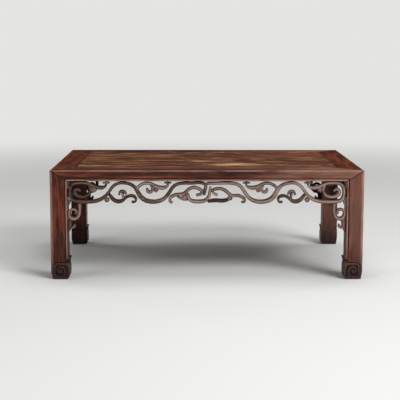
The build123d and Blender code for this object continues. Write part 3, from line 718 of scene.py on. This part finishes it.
def frame_mesh(half, half_field):
    """The front member of a side of this half length: points, faces, painted shade with grime, and wear with
    painted highlight.
    """
    section = frame_section()
    p, z = section.T
    over_leg = half_field + LEG * (z - FRAME_BOTTOM) / FRAME_HEIGHT
    end = np.minimum(half - p, over_leg)
    start = half - FRAME_WIDTH - 2
    zone = np.append(np.linspace(0, 1, 41)[1:-1], 1)
    middle = np.linspace(-start, start, 29)
    stations = [np.full(len(p), s) for s in middle]
    ends = [start + (end - 0.7 - start) * f for f in zone] + [end]
    stations = [-s for s in reversed(ends)] + stations + ends
    front = (p < 0.01) & (z < HEIGHT - TOP_EDGE + 0.01)
    top = z > HEIGHT - 0.01
    edge = ~front & ~top & (p < TOP_EDGE) & (z > FRAME_BOTTOM + 1)
    lean = np.where(edge, np.arctan2(z - HEIGHT + TOP_EDGE, TOP_EDGE - p), 0)
    inward = np.where(front, 1, np.where(edge, np.cos(lean), 0))
    downward = np.where(top, 1, np.where(edge, np.sin(lean), 0))
    points, recess, worn = [], [], []
    for i, s in enumerate(stations):
        last = i in (0, len(stations) - 1)
        r = np.maximum(np.abs(s) - half_field, z - FRAME_BOTTOM)
        bead = np.interp(r, BEAD_AT, BEAD_DEPTH) * front
        bevel = JOINT_BEVEL if last else 0
        new_p = p + inward * (bead + bevel)
        new_z = z - downward * bevel
        q, new_p = rounded(half - np.abs(s), new_p, new_z)
        points.append(np.column_stack([np.sign(s) * (half - q), new_p - HALF_DEPTH, new_z]))
        away = end - np.abs(s)
        joint = np.interp(away, [0, 1.5, 4], [1, .8, 0])
        panel_line = (p > FRAME_WIDTH - 2) * (z > HEIGHT - 3)
        # The bead's groove gets painted shade as well as grime; the mitre and the line beside the panel are
        # dark joints.
        recess.append(np.maximum.reduce([ease((bead - 0.3) / 1.2), joint, panel_line * 0.2]))
        # The rounded top edge and the bead's crown get a painted highlight as well as wear.
        crown = front * (r > 1) * (r < 4.5)
        worn.append(np.maximum(0.6 * np.sin(2 * lean) * edge, crown))
    around, rings = len(p), len(stations)
    faces = tube_faces(rings, around, closed_ends=False)
    bottom_kink = int(np.argmin(np.abs(p - LEG) + np.abs(z - FRAME_BOTTOM)))
    top_kink = int(np.argmin(np.where(z > HEIGHT - TOP_EDGE, np.abs(half - p - over_leg), 1e9)))
    over_panel = list(range(top_kink, bottom_kink + 1))
    over_leg_side = list(range(bottom_kink, around)) + list(range(top_kink + 1))
    for polygon in (over_panel, over_leg_side):
        faces.append(tuple(reversed(polygon)))
        faces.append(tuple(i + (rings - 1) * around for i in polygon))
    return np.concatenate(points), faces, np.concatenate(recess), np.concatenate(worn)


# ---- boards ----
SUNK = 0.22                 # how far the boards' top has sunk at most


def board_mesh(y_low, y_high):
    """One board of the panel: softened edges and a top that is no longer quite flat."""
    def lines(low, high, count):
        near = np.array([0, .2, .6, 1.4, 3, 7])
        return np.concatenate([low + near, np.linspace(low + 14, high - 14, count), high - near[::-1]])

    xs, ys = lines(-PANEL_X, PANEL_X, 60), lines(y_low, y_high, 18)
    x, y = np.meshgrid(xs, ys, indexing="ij")
    edge = np.minimum.reduce([PANEL_X - np.abs(x), y - y_low, y_high - y])
    short = np.clip(EDGE_ROUND - edge, 0, None)
    round_off = EDGE_ROUND - np.sqrt(np.maximum(EDGE_ROUND ** 2 - short ** 2, 0))
    wave = 0.5 + 0.5 * np.sin(x * 0.021 + 1.3 + 0.8 * np.sin(y * 0.03)) * np.sin(y * 0.045 + 0.6)
    top = HEIGHT - round_off - SUNK * wave * ease(edge / 12)
    points = [np.column_stack([x.ravel(), y.ravel(), top.ravel()])]
    base = x.size
    grid = np.arange(base).reshape(x.shape)
    corners = [grid[:-1, :-1], grid[:-1, 1:], grid[1:, 1:], grid[1:, :-1]]
    faces = np.stack(corners, axis=-1).reshape(-1, 4).tolist()
    rim = np.concatenate([grid[0], grid[1:, -1], grid[-1, -2::-1], grid[-2:0:-1, 0]]).tolist()
    under = points[0][rim].copy()
    under[:, 2] = PANEL_BOTTOM
    points.append(under)
    for k in range(len(rim)):
        n = (k + 1) % len(rim)
        faces.append((rim[k], rim[n], base + n, base + k))
    faces.append(tuple(range(base, base + len(rim))))
    # Painted shade as well as grime: the top darkens at its edges, and the board's sides and underside,
    # inside the frame, are dark.
    recess = np.concatenate([0.3 * (1 - ease((edge.ravel() - 0.2) / 1.2)), np.ones(len(rim))])
    return np.concatenate(points), faces, recess, np.zeros(len(recess))


def housing(x):
    """What the boards lose to the dovetail of the batten at x."""
    foot, head = DOVETAIL_FOOT + CLEARANCE, DOVETAIL_HEAD + CLEARANCE
    top = PANEL_BOTTOM + DOVETAIL_HEIGHT + CLEARANCE
    half = [(foot, PANEL_BOTTOM - 1), (foot, PANEL_BOTTOM), (head, top)]
    section = [(-across, z) for across, z in half] + half[::-1]
    points = [(x + across, y, z) for y in (-PANEL_Y, PANEL_Y) for across, z in section]
    return solid("housing", points, tube_faces(2, len(section)))


# ---- materials ----
def srgb(red, green, blue):
    """A linear colour from screen values of 0 to 255."""
    def linear(value):
        value /= 255
        return value / 12.92 if value <= 0.04045 else ((value + 0.055) / 1.055) ** 2.4
    return linear(red), linear(green), linear(blue), 1.0


class Shader:
    """A material or world whose nodes are made and linked by short calls that return output sockets."""

    def __init__(self, owner):
        owner.use_nodes = True
        self.owner = owner
        self.nodes = owner.node_tree.nodes
        self.links = owner.node_tree.links
        self.nodes.clear()

    def node(self, kind, inputs, **settings):
        node = self.nodes.new(kind)
        for key, value in settings.items():
            setattr(node, key, value)
        for key, value in inputs.items():
            if isinstance(value, bpy.types.NodeSocket):
                self.links.new(value, node.inputs[key])
            else:
                node.inputs[key].default_value = value
        return node

    def math(self, operation, *values):
        return self.node("ShaderNodeMath", dict(enumerate(values)), operation=operation).outputs[0]

    def times(self, a, b):
        return self.math("MULTIPLY", a, b)

    def length(self, vector):
        return self.node("ShaderNodeVectorMath", {0: vector}, operation="LENGTH").outputs["Value"]

    def vector(self, operation, a, b):
        return self.node("ShaderNodeVectorMath", {0: a, 1: b}, operation=operation).outputs[0]

    def mix(self, factor, a, b):
        return self.node("ShaderNodeMix", {0: factor, 6: a, 7: b}, data_type="RGBA").outputs[2]

    def level(self, value, low, high, to_low=0.0, to_high=1.0):
        inputs = {"Value": value, "From Min": low, "From Max": high, "To Min": to_low, "To Max": to_high}
        return self.node("ShaderNodeMapRange", inputs, interpolation_type="SMOOTHSTEP").outputs[0]

    def noise(self, place, scale, detail, roughness=0.55):
        """Noise with its own scale along each axis."""
        scaled = self.vector("MULTIPLY", place, scale)
        inputs = {"Vector": scaled, "Scale": 1.0, "Detail": detail, "Roughness": roughness}
        return self.node("ShaderNodeTexNoise", inputs).outputs["Fac"]

    def ramp(self, value, stops):
        node = self.node("ShaderNodeValToRGB", {0: value})
        elements = node.color_ramp.elements
        while len(elements) < len(stops):
            elements.new(0.5)
        for element, (place, colour) in zip(elements, stops):
            element.position = place
            element.color = colour
        return node.outputs[0]

    def attribute(self, name):
        return self.node("ShaderNodeAttribute", {}, attribute_name=name).outputs["Fac"]


# Where each effect starts and where it is full, as levels of its noise.
PORES = (0.60, 0.72)
RIGHT_SHEEN_LEVELS = (0.55, 1.1)
SCUFF_LINES, SCUFFED_PARTS = (0.50, 0.66), (0.40, 0.62)
MARK_SPOTS, MARKED_PARTS, MARK_LINES = (0.46, 0.63), (0.36, 0.60), (0.40, 0.60)
WORN_THROUGH = (0.24, 0.46)
RUBBED_AND_HIGHLIT = (0.25, 0.55)
DIRT_AND_SHADE_LEVELS = (0.25, 0.6)
FOOT_SHADE_HEIGHTS = (0.03, 0.15)       # heights in metres: painted shade darkens the feet most below the first, and not at all above the second
FOOT_SHADE = 0.82

# Layers of the figure: scales along and across the grain, detail, roughness, and weight in the colour.
FIGURE = [(1.6, 12, 2.0, 0.55, 0.8), (7, 26, 3.0, 0.6, 0.7), (5, 60, 3.0, 0.6, 1.1), (10, 230, 4.0, 0.6, 1.0)]


def wood(name, axis, dark, mid, light, worn, grime_and_shade, patches=(), right_sheen=None, scuffs=None, scratches_and_glints=None, highlight_wear=1.0,
         figure=1.0, gloss=0.46):
    """Old polished hardwood with its grain along one axis."""
    s = Shader(bpy.data.materials.new(name))

    def scale(along, across):
        return tuple(along if i == axis else across for i in range(3))

    place = s.node("ShaderNodeTexCoord", {}).outputs["Object"]
    drift = s.node("ShaderNodeTexNoise", {"Vector": place, "Scale": 5.0, "Detail": 2.0}).outputs["Color"]
    drift = s.vector("MULTIPLY", s.vector("SUBTRACT", drift, (0.5, 0.5, 0.5)), scale(0, 0.018))
    place = s.vector("ADD", place, drift)

    def grain(along, across, detail, roughness=0.55):
        """Noise drawn out along the grain."""
        return s.noise(place, scale(along, across), detail, roughness)

    rings = s.math("SINE", s.times(grain(0.9, 8, 1.0), 62.0))
    fibres = grain(28, 900, 3.0, 0.6)
    pores = s.level(grain(90, 1500, 2.0, 0.5), *PORES)
    tone = s.math("MULTIPLY_ADD", rings, 0.05, 0.5)
    layers = [(grain(*layer), weight) for *layer, weight in FIGURE] + [(fibres, 0.6)]
    for layer, weight in layers:
        tone = s.math("MULTIPLY_ADD", s.math("SUBTRACT", layer, 0.5), weight * figure, tone)
    colour = s.ramp(tone, [(0.30, dark), (0.5, mid), (0.70, light)])
    colour = s.mix(s.times(pores, 0.45), colour, grime_and_shade)

    # Painted sheen: a pale greyish veil that grows towards +X, as if light reflected off the right-hand side.
    if right_sheen:
        tint, strength = right_sheen
        x = s.node("ShaderNodeSeparateXYZ", {0: place}).outputs[0]
        right_sheen_mask = s.math("MULTIPLY_ADD", grain(6, 34, 5.0, 0.62), 1.1, x)
        colour = s.mix(s.times(s.level(right_sheen_mask, *RIGHT_SHEEN_LEVELS), strength), colour, tint)
    if scuffs:
        tint, strength = scuffs
        lines = s.level(grain(13, 170, 5.0, 0.7), *SCUFF_LINES)
        where = s.level(grain(3, 14, 3.0), *SCUFFED_PARTS)
        colour = s.mix(s.times(s.times(lines, where), strength), colour, tint)
    # Pale scratches, partly painted glints on the top's polish.
    if scratches_and_glints:
        tint, strength = scratches_and_glints
        spots = s.level(grain(11, 44, 6.0, 0.68), *MARK_SPOTS)
        where = s.level(grain(4, 9, 2.0), *MARKED_PARTS, 0.35, 1.0)
        lines = s.level(grain(7, 300, 4.0, 0.66), *MARK_LINES)
        colour = s.mix(s.times(s.times(spots, where), s.times(lines, strength)), colour, tint)
    for (x, y), (wide, deep), tint, strength in patches:
        away = s.vector("SUBTRACT", place, (x, y, HEIGHT * MM))
        away = s.length(s.vector("DIVIDE", away, (wide, deep, 1)))
        worn_through = s.math("MULTIPLY_ADD", away, -0.34, s.noise(place, (8, 60, 1), 6.0, 0.72))
        colour = s.mix(s.times(s.level(worn_through, *WORN_THROUGH), strength), colour, tint)

    # Wear and painted highlight: arrises, bead crowns and carved crowns turn pale.
    rubbed_and_highlit = s.times(s.attribute("worn"), s.level(grain(14, 60, 4.0, 0.65), *RUBBED_AND_HIGHLIT))
    colour = s.mix(s.times(rubbed_and_highlit, highlight_wear), colour, worn)
    # Painted shade and grime: grooves, carved flanks and joints turn dark.
    dirt_and_shade = s.times(s.attribute("recess"), s.level(s.noise(place, (60, 60, 60), 3.0), *DIRT_AND_SHADE_LEVELS, 0.7, 1.0))
    colour = s.mix(dirt_and_shade, colour, grime_and_shade)
    # Painted shade: the feet darken towards the floor.
    rise = s.node("ShaderNodeSeparateXYZ", {0: place}).outputs[2]
    rise = s.math("MULTIPLY_ADD", s.noise(place, (14, 14, 14), 3.0), 0.05, rise)
    colour = s.mix(s.level(rise, *FOOT_SHADE_HEIGHTS, FOOT_SHADE, 0.0), colour, grime_and_shade)

    rough = s.level(grain(10, 45, 4.0, 0.6), 0.3, 0.7, gloss - 0.09, gloss + 0.13)
    rough = s.math("ADD", rough, s.times(dirt_and_shade, 0.22))
    relief = s.math("SUBTRACT", s.times(fibres, 0.6), pores)
    relief = s.math("ADD", relief, s.times(s.noise(place, (45, 45, 45), 3.0), 2.2))
    bump = s.node("ShaderNodeBump", {"Strength": 0.5, "Distance": 0.0005, "Height": relief}).outputs[0]
    inputs = {"Base Color": colour, "Roughness": rough, "Normal": bump, "Specular IOR Level": 0.22}
    surface = s.node("ShaderNodeBsdfPrincipled", inputs)
    s.node("ShaderNodeOutputMaterial", {"Surface": surface.outputs[0]})
    return s.owner


# A grime colour that also paints shade, a wear colour that also paints highlights, and the colour of the
# painted sheen.
GRIME_AND_SHADE = srgb(12, 6, 4)
WEAR_AND_HIGHLIGHT = srgb(162, 122, 106)
RIGHT_SHEEN = srgb(132, 94, 80)
REDWOOD = dict(dark=srgb(42, 13, 7), mid=srgb(70, 27, 14), light=srgb(108, 52, 30), worn=WEAR_AND_HIGHLIGHT, grime_and_shade=GRIME_AND_SHADE)
END_WOOD = dict(dark=srgb(44, 13, 2), mid=srgb(76, 27, 4), light=srgb(124, 58, 14), worn=WEAR_AND_HIGHLIGHT, grime_and_shade=GRIME_AND_SHADE)
BOARD = dict(dark=srgb(38, 12, 3), mid=srgb(70, 27, 9), light=srgb(110, 56, 26), worn=WEAR_AND_HIGHLIGHT,
             grime_and_shade=srgb(22, 11, 7))
CARVED = dict(dark=srgb(46, 27, 21), mid=srgb(86, 61, 51), light=srgb(126, 100, 88),
              worn=srgb(160, 136, 124), grime_and_shade=srgb(16, 8, 6))

# Pale worn patches on the top: middle and reach in metres, colour and strength.
PATCHES = [
    ((0.075, -0.148), (0.130, 0.052), srgb(206, 166, 118), 0.95),
    ((-0.020, -0.052), (0.055, 0.024), srgb(186, 150, 124), 0.85),
    ((-0.333, 0.033), (0.080, 0.060), srgb(150, 100, 58), 0.5),
    ((0.120, -0.240), (0.360, 0.030), srgb(170, 116, 62), 0.75),
]

# Legs and long rails carry the painted sheen towards the right.
leg_wood = wood("leg_wood", 2, right_sheen=(RIGHT_SHEEN, 0.45), figure=1.1, **REDWOOD)
rail_wood_x = wood("rail_wood_x", 0, right_sheen=(RIGHT_SHEEN, 0.95), scuffs=(srgb(128, 86, 66), 0.6), figure=0.85,
                   **REDWOOD)
rail_wood_y = wood("rail_wood_y", 1, scuffs=(srgb(150, 84, 34), 0.3), figure=0.45, **END_WOOD)
board_wood = wood("board_wood", 0, patches=PATCHES, scuffs=(srgb(150, 104, 70), 0.5),
                  scratches_and_glints=(srgb(208, 158, 112), 0.9), figure=0.8, **BOARD)
carved_wood = [wood("carved_wood_" + letter, axis, highlight_wear=0.85, figure=0.6, **CARVED)
               for axis, letter in enumerate("xyz")]
hidden_wood = [wood("hidden_wood_" + letter, axis, gloss=0.6, **REDWOOD) for axis, letter in enumerate("xyz")]

# ---- the table ----
QUARTERS = {"front_left": (-1, -1), "front_right": (1, -1), "back_left": (-1, 1), "back_right": (1, 1)}
apron_hangers = loose_tenons("apron_tenons")
drop_pins = loose_tenons("drop_leg_tenons")
stem_pins = loose_tenons("drop_apron_tenons")
batten_places = [(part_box(name)[0][0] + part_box(name)[1][0]) / 2 / MM for name in BATTENS]


def make_legs():
    leg = marked("leg", leg_mesh())
    leg = combined([leg] + [block(*corners) for corners in STUBS], "UNION")
    root, tip = APRON_TENON
    near, far = (APRON_FACE + depth for depth in APRON_TENON_DEPTH)
    low, high = (APRON_BOTTOM + rise for rise in APRON_TENON_RISE)
    mortises = [
        mortise((LONG_FIELD + root, HALF_DEPTH - far, low), (LONG_FIELD + tip, HALF_DEPTH - near, high), 0),
        mortise((HALF_LENGTH - far, END_FIELD + root, low), (HALF_LENGTH - near, END_FIELD + tip, high), 1),
    ]
    leg = cut(leg, mortises + drop_pins)
    for place, sides in QUARTERS.items():
        add_piece("leg_" + place, mirrored(leg, *sides), leg_wood)


def make_frame():
    stub_mortises = [mortise(*corners, 2) for stub in STUBS for corners in in_each_corner(stub)]
    batten_mortises = []
    for low, high in list(in_each_corner(BATTEN_TENON))[:2]:
        for x in batten_places:
            batten_mortises.append(mortise(np.add(low, (x, 0, 0)), np.add(high, (x, 0, 0)), 1))

    rail = marked("rail", frame_mesh(HALF_LENGTH, LONG_FIELD))
    tenons = [block(*corners) for corners in in_each_corner(CORNER_TENON) if corners[0][1] < 0]
    rail = cut(combined([rail] + tenons, "UNION"), stub_mortises + batten_mortises + apron_hangers)
    add_pair("frame_front", "frame_back", rail, rail_wood_x)

    points, *rest = frame_mesh(HALF_DEPTH, END_FIELD)
    points[:, 1] += HALF_DEPTH - HALF_LENGTH
    end_rail = turned(marked("end_rail", (points, *rest)), 1)
    corner_mortises = [mortise(*corners, 0) for corners in in_each_corner(CORNER_TENON)]
    end_rail = cut(end_rail, stub_mortises + corner_mortises + apron_hangers)
    add_pair("frame_right", "frame_left", end_rail, rail_wood_y)


def make_panel():
    reach_x, reach_y = INNER_X + PANEL_TONGUE, INNER_Y + PANEL_TONGUE
    middle = (TONGUE_LOW + TONGUE_HIGH) / 2
    joint = ((-PANEL_X, BOARD_JOINT - BOARD_TONGUE, middle - BOARD_TONGUE_HALF),
             (PANEL_X, BOARD_JOINT, middle + BOARD_TONGUE_HALF))
    front = board_mesh(-PANEL_Y, BOARD_JOINT), (-reach_y, BOARD_JOINT)
    back = board_mesh(BOARD_JOINT, PANEL_Y), (BOARD_JOINT, reach_y)
    for name, (shape, (low, high)) in {"board_front": front, "board_back": back}.items():
        parts = [marked(name, shape), block((-reach_x, low, TONGUE_LOW), (reach_x, high, TONGUE_HIGH))]
        cutters = [housing(x) for x in batten_places]
        if name == "board_back":
            parts.append(block(*joint))
        else:
            cutters.append(mortise(*joint, 1))
        add_piece(name, cut(combined(parts, "UNION"), cutters), board_wood)


def make_carving():
    front = cut(placed(long_apron(), HALF_DEPTH), apron_hangers + stem_pins)
    add_pair("apron_front", "apron_back", front, carved_wood[0])
    side = cut(turned(placed(end_apron(), HALF_LENGTH), 1), apron_hangers + stem_pins)
    add_pair("apron_right", "apron_left", side, carved_wood[1])

    long_drop = cut(placed(drop(LONG_FIELD), HALF_DEPTH), drop_pins + stem_pins)
    end_drop = cut(turned(placed(drop(END_FIELD), HALF_LENGTH), 1), drop_pins + stem_pins)
    for place, (x_side, y_side) in QUARTERS.items():
        y_name, x_name = place.split("_")
        long_one, end_one = mirrored(long_drop, x_side, -y_side), mirrored(end_drop, x_side, y_side)
        add_piece(f"drop_{y_name}_{x_name}", long_one, carved_wood[2])
        add_piece(f"drop_{x_name}_{y_name}", end_one, carved_wood[2])


make_legs()
make_frame()
make_panel()
make_carving()

# CAD nodes kept as they are, out of sight, and the axis of their grain.
KEPT = {**dict.fromkeys(BATTENS, 1), "apron_tenons": 2, "drop_leg_tenons": 0, "drop_apron_tenons": 2}
for name, axis in KEPT.items():
    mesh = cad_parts[name].data
    mesh.materials.clear()
    mesh.materials.append(hidden_wood[axis])

# ---- floor, camera and light, in metres ----
PALE = (0.78, 0.78, 0.77, 1)
WORLD_LEVEL, GLOSSY_LEVEL = 0.09, 0.04
BACKDROP_RISE = (0.02, 0.06)    # between these sines of height, reflections lose the pale backdrop
FLOOR_REACH = 60.0
FADE = (1.3, 4.5)               # between these distances the floor fades into the backdrop
LAMPS = [                       # name, place, target, width, height and watts
    ("key", (2.6, -3.0, 2.9), (0.2, 0, 0.2), 2.2, 1.6, 172),
    ("fill", (-3.0, -2.3, 1.7), (-0.2, 0, 0.15), 2.0, 1.5, 36),
    ("overhead", (0.3, 0.1, 3.2), (0.1, 0, 0.3), 2.6, 1.6, 48),
    ("back_left", (-3.2, 2.0, 1.5), (0, 0, 0.15), 1.4, 1.2, 20),
    ("back_right", (3.2, 2.0, 1.5), (0, 0, 0.15), 1.4, 1.2, 20),
]
LENS, SENSOR_WIDTH = 96.2, 36   # millimetres
CAMERA_PLACE = (-0.050, -3.322, 0.674)
PITCH, YAW, ROLL = 8.32, 0.56, 0.09     # degrees: down, towards +X, and about the view axis


def make_floor():
    """A floor that fades into the backdrop for the camera and for reflections."""
    mesh = bpy.data.meshes.new("floor")
    corners = [(x * FLOOR_REACH, y * FLOOR_REACH, 0) for x, y in ((-1, -1), (1, -1), (1, 1), (-1, 1))]
    mesh.from_pydata(corners, [], [(0, 1, 2, 3)])
    floor = in_scene("floor", mesh)
    s = Shader(bpy.data.materials.new("floor"))
    inputs = {"Base Color": PALE, "Roughness": 0.6, "Specular IOR Level": 0.2}
    near = s.node("ShaderNodeBsdfPrincipled", inputs)
    far = s.node("ShaderNodeEmission", {"Color": PALE})
    away = s.length(s.node("ShaderNodeTexCoord", {}).outputs["Object"])
    rays = s.node("ShaderNodeLightPath", {}).outputs
    seen = s.math("MAXIMUM", rays["Is Camera Ray"], rays["Is Transmission Ray"])
    fade = s.times(s.level(away, *FADE), s.math("MAXIMUM", seen, rays["Is Glossy Ray"]))
    both = s.node("ShaderNodeMixShader", {0: fade, 1: near.outputs[0], 2: far.outputs[0]})
    s.node("ShaderNodeOutputMaterial", {"Surface": both.outputs[0]})
    mesh.materials.append(s.owner)


def make_world():
    """A pale backdrop for the camera, and a dimmer even light for everything else."""
    world = bpy.data.worlds.new("studio")
    bpy.context.scene.world = world
    s = Shader(world)
    backdrop = s.node("ShaderNodeBackground", {"Color": PALE})
    rays = s.node("ShaderNodeLightPath", {}).outputs
    direction = s.node("ShaderNodeTexCoord", {}).outputs["Generated"]
    rise = s.node("ShaderNodeSeparateXYZ", {0: direction}).outputs[2]
    shiny = s.math("MAXIMUM", rays["Is Glossy Ray"], rays["Is Transmission Ray"])
    level = s.math("MULTIPLY_ADD", shiny, GLOSSY_LEVEL - WORLD_LEVEL, WORLD_LEVEL)
    light = s.node("ShaderNodeBackground", {"Color": (1, 1, 1, 1), "Strength": level})
    low_shiny = s.times(shiny, s.level(rise, *BACKDROP_RISE, 1.0, 0.0))
    seen = s.math("MAXIMUM", rays["Is Camera Ray"], low_shiny)
    both = s.node("ShaderNodeMixShader", {0: seen, 1: light.outputs[0], 2: backdrop.outputs[0]})
    s.node("ShaderNodeOutputWorld", {0: both.outputs[0]})


def softbox(name, place, target, wide, high, power):
    """A rectangular lamp that faces a point."""
    data = bpy.data.lights.new(name, "AREA")
    data.shape = "RECTANGLE"
    data.size, data.size_y = wide, high
    data.energy = power
    lamp = in_scene(name, data)
    lamp.location = place
    lamp.rotation_euler = (Vector(target) - Vector(place)).to_track_quat("-Z", "Y").to_euler()


def make_camera():
    data = bpy.data.cameras.new("camera")
    data.lens = LENS
    data.sensor_width = SENSOR_WIDTH
    camera = in_scene("camera", data)
    camera.location = CAMERA_PLACE
    heading = Euler((0, 0, math.radians(-YAW))).to_matrix()
    tilt = Euler((math.radians(90 - PITCH), 0, 0)).to_matrix()
    roll = Euler((0, 0, math.radians(ROLL))).to_matrix()
    camera.rotation_euler = (heading @ tilt @ roll).to_euler()
    bpy.context.scene.camera = camera


make_floor()
make_world()
for lamp in LAMPS:
    softbox(*lamp)
make_camera()
bpy.context.scene.view_settings.view_transform = "Standard"
